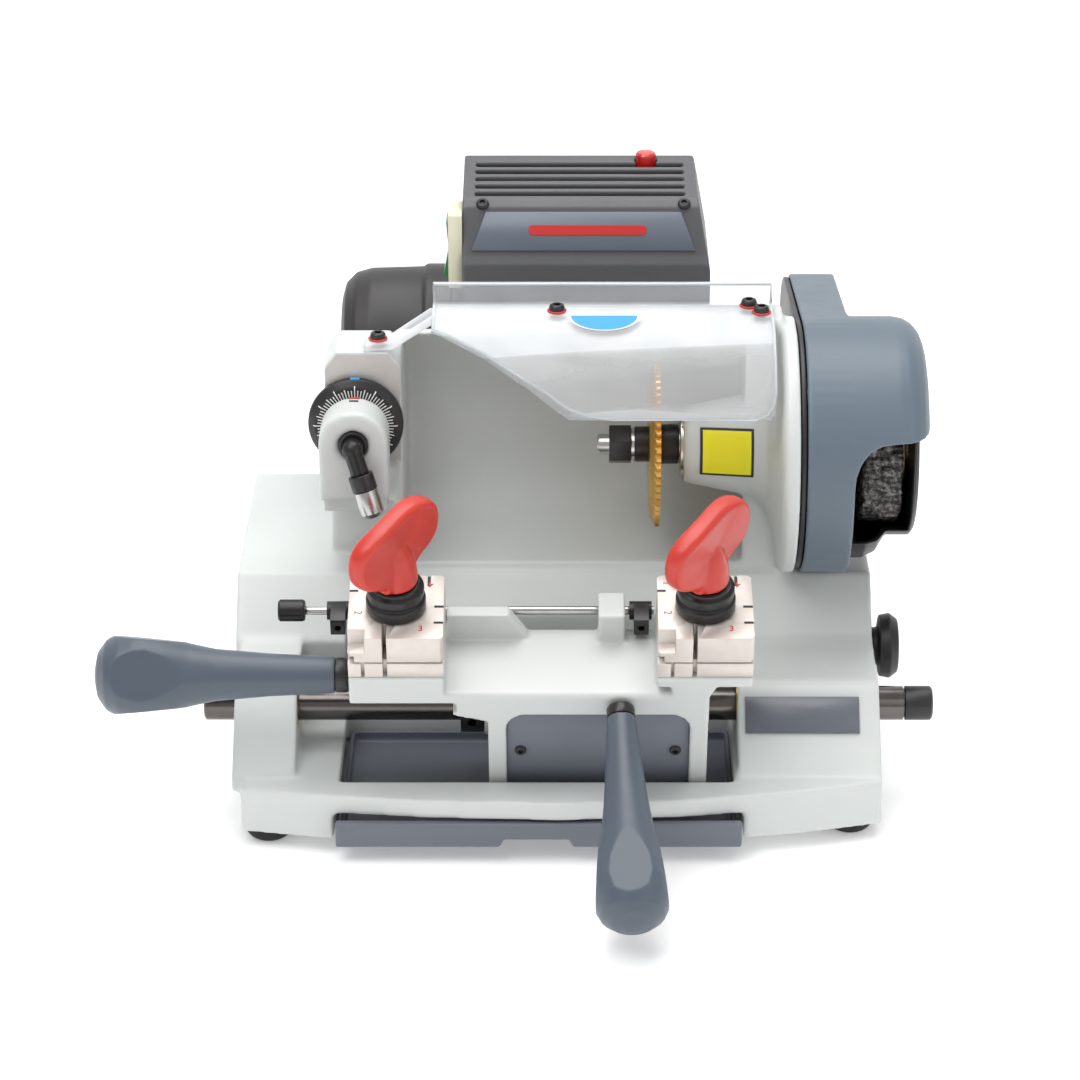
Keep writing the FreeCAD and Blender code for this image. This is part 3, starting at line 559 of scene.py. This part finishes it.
# Both lever grips turn one flat towards the camera
camera_rise = math.radians(90.0 - CAMERA_PITCH)
to_camera = Vector((0, -math.cos(camera_rise), math.sin(camera_rise)))
front_lever = Vector((3.8, -94.5, -21.3)).normalized()
left_flats = facets(CLAMPS @ Vector((-97.4, -8, 27)), (-1, 0, 0), to_camera,
                    first_gap=15.0, first_along=74, slope=0.09)
front_flats = facets(CARRIAGE @ Vector((28.0, -45.2, 39.2)), CARRIAGE.to_3x3() @ front_lever,
                     to_camera, first_gap=13.2, first_along=70, slope=0.085)
soften("left_lever_grip", "grip_plastic", voxel=0.8, relax=3, shape=left_flats)
soften("front_lever_grip", "grip_plastic", voxel=0.8, relax=3, shape=front_flats)
soften("brush_housing", "black_plastic", voxel=0.7, relax=2)
soften("side_knob", "black_plastic", voxel=0.6, relax=4)
soften("chip_tray", "blue_grey_panel", voxel=0.8, relax=2)
soften("rubber_feet", "rubber", voxel=0.6, relax=4)


# ------------------------------------------------------------------ CAD nodes that stay
CRISP_ANGLE = math.radians(35.0)
# Node, material, bevel width (0 for none)
CARRIED = [
    ("bottom_plate", "ground_steel", 0.3), ("name_plate", "name_plate", 0.25),
    ("shaft_bushes", "brass", 0.3), ("spindle_bearings", "ground_steel", 0.3),
    ("motor_housing", "motor_black", 0.5), ("motor_mount", "motor_black", 0.6),
    ("cover_label", "cover_label", 0.25), ("switch_bezel", "cream_bezel", 0.6),
    ("power_inlet", "black_plastic", 0.8), ("belt_guard_back", "black_plastic", 0.6),
    ("drive_belt", "rubber", 0.3), ("tracer_sleeve", "black_oxide", 0.3),
    ("safety_shield", "clear_sheet", 0.5), ("switch_rocker", "green_rocker", 0.8),
    ("reset_button", "red_button", 0.4), ("spindle_shaft", "turned_steel", 0.3),
    ("cutter", "gold_coating", 0.0), ("cutter_spacers", "black_oxide", 0.35),
    ("cutter_nut", "black_oxide", 0.35), ("spindle_pulley", "ground_steel", 0.3),
    ("brush_hub", "brass", 0.3), ("motor_rotor", "laminated_iron", 0.3),
    ("motor_pulley", "ground_steel", 0.3), ("tracer_dial", "black_plastic", 0.3),
    ("tracer_stem", "black_oxide", 0.2), ("tracer_collar", "black_oxide", 0.4),
    ("tracer_tip", "ground_steel", 0.3), ("carriage_shaft", "carriage_shaft", 0.3),
    ("shaft_end_cap", "black_plastic", 0.4), ("carriage_panel", "blue_grey_panel", 0.4),
    ("shaft_collar", "black_oxide", 0.5), ("clamp_studs", "ground_steel", 0.3),
    ("left_jaw_lower", "satin_nickel", 0.3), ("right_jaw_lower", "satin_nickel", 0.3),
    ("left_jaw_upper", "satin_nickel", 0.35), ("right_jaw_upper", "satin_nickel", 0.35),
    ("left_clamp_collar", "black_oxide", 0.4), ("right_clamp_collar", "black_oxide", 0.4),
    ("left_lever_rod", "black_oxide", 0.4), ("front_lever_rod", "black_oxide", 0.4),
    ("gauge_rod", "ground_steel", 0.15), ("gauge_fingers", "black_oxide", 0.3),
]


def carry(node_name, material, bevel_width):
    """Give a CAD node its finish, rounded edges and smooth shading."""
    kept = NODES[node_name]
    paint(kept.data, material)
    if bevel_width:
        weld = kept.modifiers.new("weld", "WELD")
        weld.merge_threshold = 0.00002
        bevel = kept.modifiers.new("bevel", "BEVEL")
        bevel.width = bevel_width * MM
        bevel.segments = 2
        bevel.limit_method = "ANGLE"
        bevel.angle_limit = CRISP_ANGLE
        bevel.use_clamp_overlap = True
        bevel.harden_normals = False
    smooth_faces(kept.data)
    kept.data.set_sharp_from_angle(angle=CRISP_ANGLE)


for carried in CARRIED:
    carry(*carried)


# ------------------------------------------------------------------ screws and washers
def hex_screw(mesh, radius, height, matrix):
    """Button head with a hexagon socket whose corners reach about half the radius."""
    socket = radius * 0.5
    profile = [(0, height * 0.42), (socket * 0.98, height * 0.42), (socket, height * 0.46),
               (socket * 1.02, height * 0.93), (socket * 1.1, height), (radius * 0.62, height),
               (radius * 0.86, height * 0.84), (radius * 0.97, height * 0.52),
               (radius, height * 0.12), (radius * 0.98, 0), (0, 0)]

    def hexagon(row, k, angle, reach):
        if row not in (1, 2, 3):
            return reach
        from_flat = (angle % (math.pi / 3)) - math.pi / 6
        return reach * (math.cos(math.pi / 6) / math.cos(from_flat))

    part = bmesh.new()
    lathe(part, profile, segments=36, radius_at=hexagon)
    merge(mesh, part, matrix)


def screw_set(name, body, base, replaces, screws):
    """One object of screws, each (head radius, head height, position, axis)."""
    mesh = bmesh.new()
    for radius, height, position, axis in screws:
        hex_screw(mesh, radius, height, aimed(base, position, axis))
    new_object(name, mesh, "black_oxide", body, replaces=replaces)


WASHER_THICKNESS = 1.0
# Radius, height
WASHER_PROFILE = [(2.2, 0), (4.3, 0), (4.6, 0.3), (4.6, 0.75), (4.3, WASHER_THICKNESS),
                  (2.2, WASHER_THICKNESS), (2.2, 0)]
SHIELD_SCREWS = [(-87, -2, 210.3), (-1.5, 1, 223.4), (90.5, 8, 223.4), (96, -1, 223.4)]

screw_set("shield_screw_heads", "machine", MACHINE, "shield_screws",
          [(3.8, 2.8, (x, y, z + WASHER_THICKNESS), (0, 0, 1)) for x, y, z in SHIELD_SCREWS])
washers = bmesh.new()
for position in SHIELD_SCREWS:
    washer = bmesh.new()
    lathe(washer, WASHER_PROFILE, segments=40)
    merge(washers, washer, aimed(MACHINE, position, (0, 0, 1)))
new_object("shield_washer_rings", washers, "red_mark", "machine")

screw_set("cover_and_guard_screws", "machine", MACHINE, "housing_screws",
          [(3.2, 1.9, (x, 70.2, 252.9), (0, -0.6, 0.8)) for x in (-38, 61)]
          + [(2.8, 2.2, (138.5, y, z), (1, 0, 0)) for y, z in ((100, 165), (66, 185), (66, 136))])
screw_set("panel_screw_heads", "carriage", CARRIAGE, "panel_screws",
          [(2.7, 1.6, (x, -41.55, 9), (0, -1, 0)) for x in (-18.5, 54)])

# ------------------------------------------------------------------ knurled gauge knob
KNURL_RADIUS = 5.2
KNURL_DEPTH = 0.28
KNOB_LENGTH = 12.6
KNOB_PROFILE = ([(0, 0.0), (4.4, 0.0), (4.9, 0.6)]
                + [(KNURL_RADIUS, 0.9 + 0.42 * i) for i in range(26)]
                + [(4.9, 12.0), (4.4, KNOB_LENGTH), (0, KNOB_LENGTH)])


def knurl(row, k, angle, radius):
    """Sink every other vertex of the grip, in a chequer."""
    sunk = radius == KNURL_RADIUS and (row + k) % 2 == 0
    return radius - KNURL_DEPTH if sunk else radius


mesh = bmesh.new()
lathe(mesh, KNOB_PROFILE, segments=60, radius_at=knurl)
new_object("knurled_gauge_knob", mesh, "black_oxide", "gauge",
           aimed(CLAMPS, (-132.5, 29, 34), (1, 0, 0)), sharp=25, replaces="gauge_knob")

# ------------------------------------------------------------------ wire brush
BRUSH_PROFILE = [(14.2, -9.6), (35.2, -9.4), (36.2, -8.5), (36.2, 8.5), (35.2, 9.4),
                 (14.2, 9.6), (14.2, -9.6)]  # radius, height
BRISTLES = 5200
BRISTLE_RADIUS = 0.16


def roughen_brush(mesh):
    """Subdivide the solid ring and jitter it outside its bore."""
    long_edges = [edge for edge in mesh.edges if edge.calc_length() > 2.5]
    bmesh.ops.subdivide_edges(mesh, edges=long_edges, cuts=3, use_grid_fill=True)
    for vertex in mesh.verts:
        if math.hypot(vertex.co.x, vertex.co.y) > 16:
            swell = 1 + random.uniform(-0.045, 0.030)
            vertex.co.x *= swell
            vertex.co.y *= swell
            vertex.co.z += random.uniform(-0.5, 0.5)


def add_bristle(mesh):
    """One three-sided spike leaning out of the rim."""
    angle = random.uniform(0, 2 * math.pi)
    z = random.uniform(-9.2, 9.2)
    root_radius = random.uniform(31.5, 35.0)
    tip_radius = random.uniform(36.0, 37.9)
    tip_angle = angle + random.uniform(-0.07, 0.07)
    tip_z = max(-9.8, min(9.8, z + random.uniform(-1.6, 1.6)))
    root = Vector((root_radius * math.cos(angle), root_radius * math.sin(angle), z))
    end = Vector((tip_radius * math.cos(tip_angle), tip_radius * math.sin(tip_angle), tip_z))
    direction = (end - root).normalized()
    side = direction.orthogonal().normalized() * BRISTLE_RADIUS
    across = direction.cross(side).normalized() * BRISTLE_RADIUS
    base = [mesh.verts.new(root + side), mesh.verts.new(root - side * 0.5 + across),
            mesh.verts.new(root - side * 0.5 - across)]
    bridge(mesh, [base, [mesh.verts.new(end)]])
    mesh.faces.new(base[::-1])


mesh = bmesh.new()
lathe(mesh, BRUSH_PROFILE, segments=140)
roughen_brush(mesh)
for i in range(BRISTLES):
    add_bristle(mesh)
new_object("wire_brush", mesh, "bristle_wire", "spindle",
           aimed(MACHINE, (154, 0, SPINDLE_Z), (1, 0, 0)), sharp=30, replaces="deburring_brush")

# ------------------------------------------------------------------ dial marks
DIAL_MARKS = 72
MARK_START = 14.6
DIAL_FACE = 6.0  # height of the flat face in the dial's frame
FACE_RADIUS = 19.4  # beyond it the face slopes away
RIM_SLOPE = 0.743
BOX_FACES = ((0, 1, 2, 3), (4, 5, 6, 7), (0, 1, 5, 4), (1, 2, 6, 5), (2, 3, 7, 6), (3, 0, 4, 7))


def dial_mark(mesh, i):
    """One radial line; every sixth runs on down the sloping rim."""
    angle = 2 * math.pi * i / DIAL_MARKS
    reach = 20.3 if i % 6 == 0 else (19.2 if i % 3 == 0 else 18.3)
    half_width = Vector((-math.sin(angle), math.cos(angle), 0)) * 0.24
    half_depth = Vector((0, 0, 0.1))
    stations = [(MARK_START, DIAL_FACE)]  # radius, height
    if reach < FACE_RADIUS:
        stations += [(reach, DIAL_FACE)]
    else:
        stations += [(FACE_RADIUS, DIAL_FACE),
                     (reach, DIAL_FACE - (reach - FACE_RADIUS) * RIM_SLOPE)]
    points = [Vector((r * math.cos(angle), r * math.sin(angle), z)) for r, z in stations]
    for near, far in zip(points, points[1:]):
        outline = (near - half_width, near + half_width, far + half_width, far - half_width)
        box = [mesh.verts.new(p + depth) for depth in (-half_depth, half_depth) for p in outline]
        for face in BOX_FACES:
            mesh.faces.new([box[corner] for corner in face])


mesh = bmesh.new()
for i in range(DIAL_MARKS):
    dial_mark(mesh, i)
new_object("dial_graduations", mesh, "white_mark", "dial",
           aimed(MACHINE, (DIAL_X, -9.5, DIAL_Z), (0, -1, 0)))

# Name, material, body, width, height, corner, y, z
for name, material, body, width, height, corner, y, z in (
    ("dial_zero_mark", "blue_label", "dial", 4.4, 2.6, 0.4, -11.3, DIAL_Z + 22.72),
    ("dial_index_red", "red_mark", "machine", 5.0, 1.6, 0.4, -20.5, 187.45),
    ("dial_index_dark", "dark_mark", "machine", 4.4, 1.3, 0.3, -24.2, 187.45),
):
    slab_object(name, material, body, MACHINE @ shift(DIAL_X, y, z),
                width=width, height=height, thickness=0.3, corner=corner)

# ------------------------------------------------------------------ label on the barrel
LABEL_X = 80
LABEL_ANGLE = math.radians(12)  # middle of the label, up from straight forward
LABEL_THICKNESS = 0.35
LABEL_STEPS = 14


def barrel_radius(x):
    """The spindle barrel widens from 18.5 at x = 60 to 25 at x = 92."""
    return 18.5 + (25 - 18.5) * (x - 60) / 32.0


def wrap_label(name, material, width, height, lift):
    """A blank sticker wrapped on the barrel, its outer face lifted off the surface."""
    mesh = bmesh.new()
    last = LABEL_STEPS
    grid = []  # grid[i][j] is an (outer, inner) pair: i along the barrel, j around it
    for i in range(last + 1):
        x = LABEL_X - width / 2 + width * (i / last)
        outer = barrel_radius(x) + lift
        column = []
        for j in range(last + 1):
            angle = LABEL_ANGLE + height / outer * (j / last - 0.5)
            column.append([mesh.verts.new((x, -r * math.cos(angle), r * math.sin(angle)))
                           for r in (outer, outer - LABEL_THICKNESS)])
        grid.append(column)
    for i in range(last):
        for j in range(last):
            for layer in (0, 1):
                corners = (grid[i][j][layer], grid[i + 1][j][layer],
                           grid[i + 1][j + 1][layer], grid[i][j + 1][layer])
                mesh.faces.new(corners[::-1] if layer else corners)
    for j in range(last):
        for column in (grid[0], grid[last]):
            mesh.faces.new((*column[j][:1], *column[j + 1], column[j][1]))
    for i in range(last):
        for j in (0, last):
            mesh.faces.new((grid[i][j][0], *grid[i + 1][j], grid[i][j][1]))
    new_object(name, mesh, material, "machine", MACHINE @ shift(0, 0, SPINDLE_Z))


wrap_label("barrel_label_border", "dark_mark", width=25.6, height=24.6, lift=0.55)
wrap_label("barrel_label_face", "yellow_label", width=23.0, height=22.0, lift=0.75)


# ------------------------------------------------------------------ sticker on the shield
def half_disc(name, material, matrix, half_width, depth, offset, thickness):
    """Half-elliptical plate, its curved side towards the front."""
    mesh = bmesh.new()
    angles = [math.pi + math.pi * k / 24 for k in range(25)]
    low, high = ([mesh.verts.new((half_width * math.cos(a), offset + depth * math.sin(a), z))
                  for a in angles] for z in (0, thickness))
    mesh.faces.new(low[::-1])
    mesh.faces.new(high)
    bridge(mesh, [low, high])
    new_object(name, mesh, material, "machine", matrix)


STICKER_RIM = 0.22  # thickness
# The sheet falls 2.8 over 14 towards the front here
sticker = MACHINE @ shift(21, -4.2, 223.38) @ turn(math.atan2(2.8, 14), "X")
half_disc("shield_sticker_rim", "white_mark", sticker,
          half_width=17.4, depth=13.6, offset=0.0, thickness=STICKER_RIM)
half_disc("shield_sticker", "blue_label", sticker @ shift(0, 0, STICKER_RIM),
          half_width=15.8, depth=12.2, offset=-0.8, thickness=0.2)

# ------------------------------------------------------------------ raised rims of the shield, coloured pale as a painted highlight
# Outer face of the curved sheet, back to front: y, z
SHEET_PROFILE = [(-4, 223.3), (-18, 220.5), (-31, 213.5), (-43, 202.5), (-51.5, 189.5)]
RIM_DEPTH = 1.45  # rim centre below the outer face
# Left edge of the sheet, back to front: x, y
LEFT_EDGE = [(-60.3, 13), (-60.3, 4), (-60.3, -6), (-60.3, -14.5), (-51.6, -19.4),
             (-37.6, -27.4), (-19.7, -37.8), (-5.8, -44.2), (4.2, -48.2), (14, -50.0)]
FRONT_RIGHT_CORNER = [(97, -49.0, 190.6), (99.8, -46.8, 193.8), (101.2, -43, 199.8)]
RIGHT_X = 101.3
# Upright frame at the back of the sheet: x, z
BACK_FRAME = [(RIGHT_X, 221.5), (RIGHT_X, 231.8), (60, 231.8), (0, 231.8), (-60.3, 231.8),
              (-60.3, 221.5)]


def rim_height(y):
    if y >= -4:
        return 221.9
    for (back_y, back_z), (front_y, front_z) in zip(SHEET_PROFILE, SHEET_PROFILE[1:]):
        if y >= front_y:
            share = (back_y - y) / (back_y - front_y)
            return back_z + (front_z - back_z) * share - RIM_DEPTH


path = [(x, y, rim_height(y)) for x, y in LEFT_EDGE]
path += [(x, -50.2, 188.95) for x in (24, 40, 60, 80, 92)]
path += FRONT_RIGHT_CORNER
path += [(RIGHT_X, y, rim_height(y)) for y in (-38, -31, -24, -18, -11, -4, 4, 13)]
mesh = bmesh.new()
tube(mesh, path, radius=0.75)
tube(mesh, [(x, 15.5, z) for x, z in BACK_FRAME], radius=0.7)
new_object("shield_rim_glint", mesh, "sheet_rim_glint", "machine", MACHINE, sharp=60)

# ------------------------------------------------------------------ frame round the name plate
FRAME_X, FRAME_Y = 26.0, 8.0  # half spans between bar centres
FRAME_BAR = 0.45
plate_face = MACHINE @ shift(115, -88.55, 52.8) @ turn(math.radians(45.7), "X")
mesh = bmesh.new()
for x, y, width, height in (
    (0, FRAME_Y, 2 * FRAME_X, FRAME_BAR), (0, -FRAME_Y, 2 * FRAME_X, FRAME_BAR),
    (FRAME_X, 0, FRAME_BAR, 16.4), (-FRAME_X, 0, FRAME_BAR, 16.4),
):
    merge_slab(mesh, shift(x, y, 0.55), width, height, 0.25, 0.12, 2)
new_object("name_plate_frame", mesh, "ground_steel", "machine", plate_face)

# Plain bar on the motor cover's label
cover_face = MACHINE @ shift(11.5, 64.5, 241) @ turn(math.atan2(22, 9), "X")
slab_object("cover_label_bar", "red_mark", "machine", cover_face @ shift(2, 0.5, 1.02),
            width=58, height=5.0, thickness=0.5, corner=2.2, segments=8)

# ------------------------------------------------------------------ jaw marks
# Ticks, from the clamp's x: x, y, width, height
JAW_TICKS = [(19.7, -8.3, 4.3, 1.36), (19.7, 2.7, 4.3, 1.36), (-20.0, 13.7, 3.8, 1.36),
             (14.7, 20.4, 1.36, 6.6)]
# Numerals, from the clamp's axis: text, x, y, turn in degrees
JAW_NUMERALS = [("1", -17.2, 16.5, 90), ("2", -17.5, -4.0, -90), ("3", 11.5, -15.0, 0),
                ("4", 15.5, 15.5, 180)]


def numeral(name, text, body, matrix):
    """Flat raised numeral, turned from text into a mesh."""
    curve = bpy.data.curves.new(name, "FONT")
    curve.body = text
    curve.size = 5.2
    curve.extrude = 0.06
    curve.align_x = "CENTER"
    curve.align_y = "CENTER"
    lettering = bpy.data.objects.new(name, curve)
    bpy.context.scene.collection.objects.link(lettering)
    bpy.context.view_layer.update()
    depsgraph = bpy.context.evaluated_depsgraph_get()
    data = bpy.data.meshes.new_from_object(lettering.evaluated_get(depsgraph))
    bpy.data.objects.remove(lettering)
    data.transform(matrix)
    paint(data, "red_mark")
    made = bpy.data.objects.new(name, data)
    bpy.context.scene.collection.objects.link(made)
    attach(made, body)


def jaw_marks(side):
    clamp_x = CLAMP_X[side]
    body = side + "_jaw"
    mesh = bmesh.new()
    for x, y, width, height in JAW_TICKS:
        merge_slab(mesh, CLAMPS @ shift(clamp_x + x, y, 58.85), width, height, 1.22, 0.3, 3)
    new_object(side + "_jaw_ticks", mesh, "dark_mark", body)
    for text, x, y, degrees in JAW_NUMERALS:
        matrix = (CLAMPS @ shift(clamp_x + x, CLAMP_Y + y, 60.06)
                  @ turn(math.radians(degrees), "Z"))
        numeral(side + "_jaw_numeral_" + text, text, body, matrix)


for side in CLAMP_X:
    jaw_marks(side)

# ------------------------------------------------------------------ front of the tracer tower
TOWER_OUTLINE = [(-112.2, 150), (-112.2, 197.6), (-106.6, 205), (-82.4, 205),
                 (-76.8, 197.6), (-76.8, 150)]  # x, z
mesh = bmesh.new()
back, front = ([mesh.verts.new((x, y, z)) for x, z in TOWER_OUTLINE] for y in (-8.05, -8.75))
mesh.faces.new(back)
mesh.faces.new(front[::-1])
bridge(mesh, [back, front])
new_object("tower_machined_face", mesh, "machined_face", "machine", MACHINE)

# ------------------------------------------------------------------ stage, in metres
scene = bpy.context.scene
FLOOR_HALF = 6.0
FLOOR_DROP = 0.0001
SWEEP_START = 1.6  # y where the floor begins to curve up
SWEEP_RADIUS = 1.2
SWEEP_STEPS = 24


def studio_floor():
    """Floor that sweeps up into a back wall."""
    profile = [(-FLOOR_HALF, 0)]  # y, z
    for k in range(SWEEP_STEPS + 1):
        angle = math.pi / 2 * k / SWEEP_STEPS
        profile.append((SWEEP_START + SWEEP_RADIUS * math.sin(angle),
                        SWEEP_RADIUS - SWEEP_RADIUS * math.cos(angle)))
    profile.append((2.8, 5.0))
    points = [(x, y, z - FLOOR_DROP) for y, z in profile for x in (-FLOOR_HALF, FLOOR_HALF)]
    faces = [(2 * k, 2 * k + 1, 2 * k + 3, 2 * k + 2) for k in range(len(profile) - 1)]
    data = bpy.data.meshes.new("floor")
    data.from_pydata(points, [], faces)
    smooth_faces(data)
    floor = bpy.data.objects.new("studio_floor", data)
    scene.collection.objects.link(floor)
    material, tree, shader = new_material("floor_white")
    set_inputs(tree, shader, {
        "Base Color": (0.93, 0.93, 0.93, 1),
        "Roughness": 0.9,
        "Specular IOR Level": 0.1,
        "Emission Color": (1, 1, 1, 1),
        "Emission Strength": 0.25,
    })
    data.materials.append(material)


def studio_world():
    world = bpy.data.worlds.new("studio")
    scene.world = world
    world.use_nodes = True
    set_inputs(world.node_tree, world.node_tree.nodes["Background"],
               {"Color": (1.0, 1.0, 1.0, 1), "Strength": 0.55})


def area_light(name, location, size, power):
    """Square light aimed at the machine."""
    light = bpy.data.lights.new(name, "AREA")
    light.energy = power
    light.size = size
    lamp = bpy.data.objects.new(name, light)
    scene.collection.objects.link(lamp)
    lamp.location = location
    aim = Vector((0, 0, 0.1)) - Vector(location)
    lamp.rotation_euler = aim.to_track_quat("-Z", "Y").to_euler()


def front_camera():
    lens = bpy.data.cameras.new("camera")
    lens.lens = 120.0
    lens.sensor_width = 36.0
    lens.shift_x = -0.0185185
    lens.shift_y = 0.0185185
    lens.clip_end = 50.0
    camera = bpy.data.objects.new("camera", lens)
    scene.collection.objects.link(camera)
    camera.location = scene_point(0.0, -1606.19, 841.9)
    camera.rotation_euler = Euler((math.radians(CAMERA_PITCH), 0, 0))
    scene.camera = camera


studio_floor()
studio_world()
area_light("key", (-0.7, -0.7, 1.9), size=1.2, power=17)
area_light("fill", (1.4, -1.2, 0.9), size=1.2, power=4)
area_light("top", (0.1, 0.4, 1.9), size=1.4, power=24)
front_camera()
scene.view_settings.view_transform = "Standard"
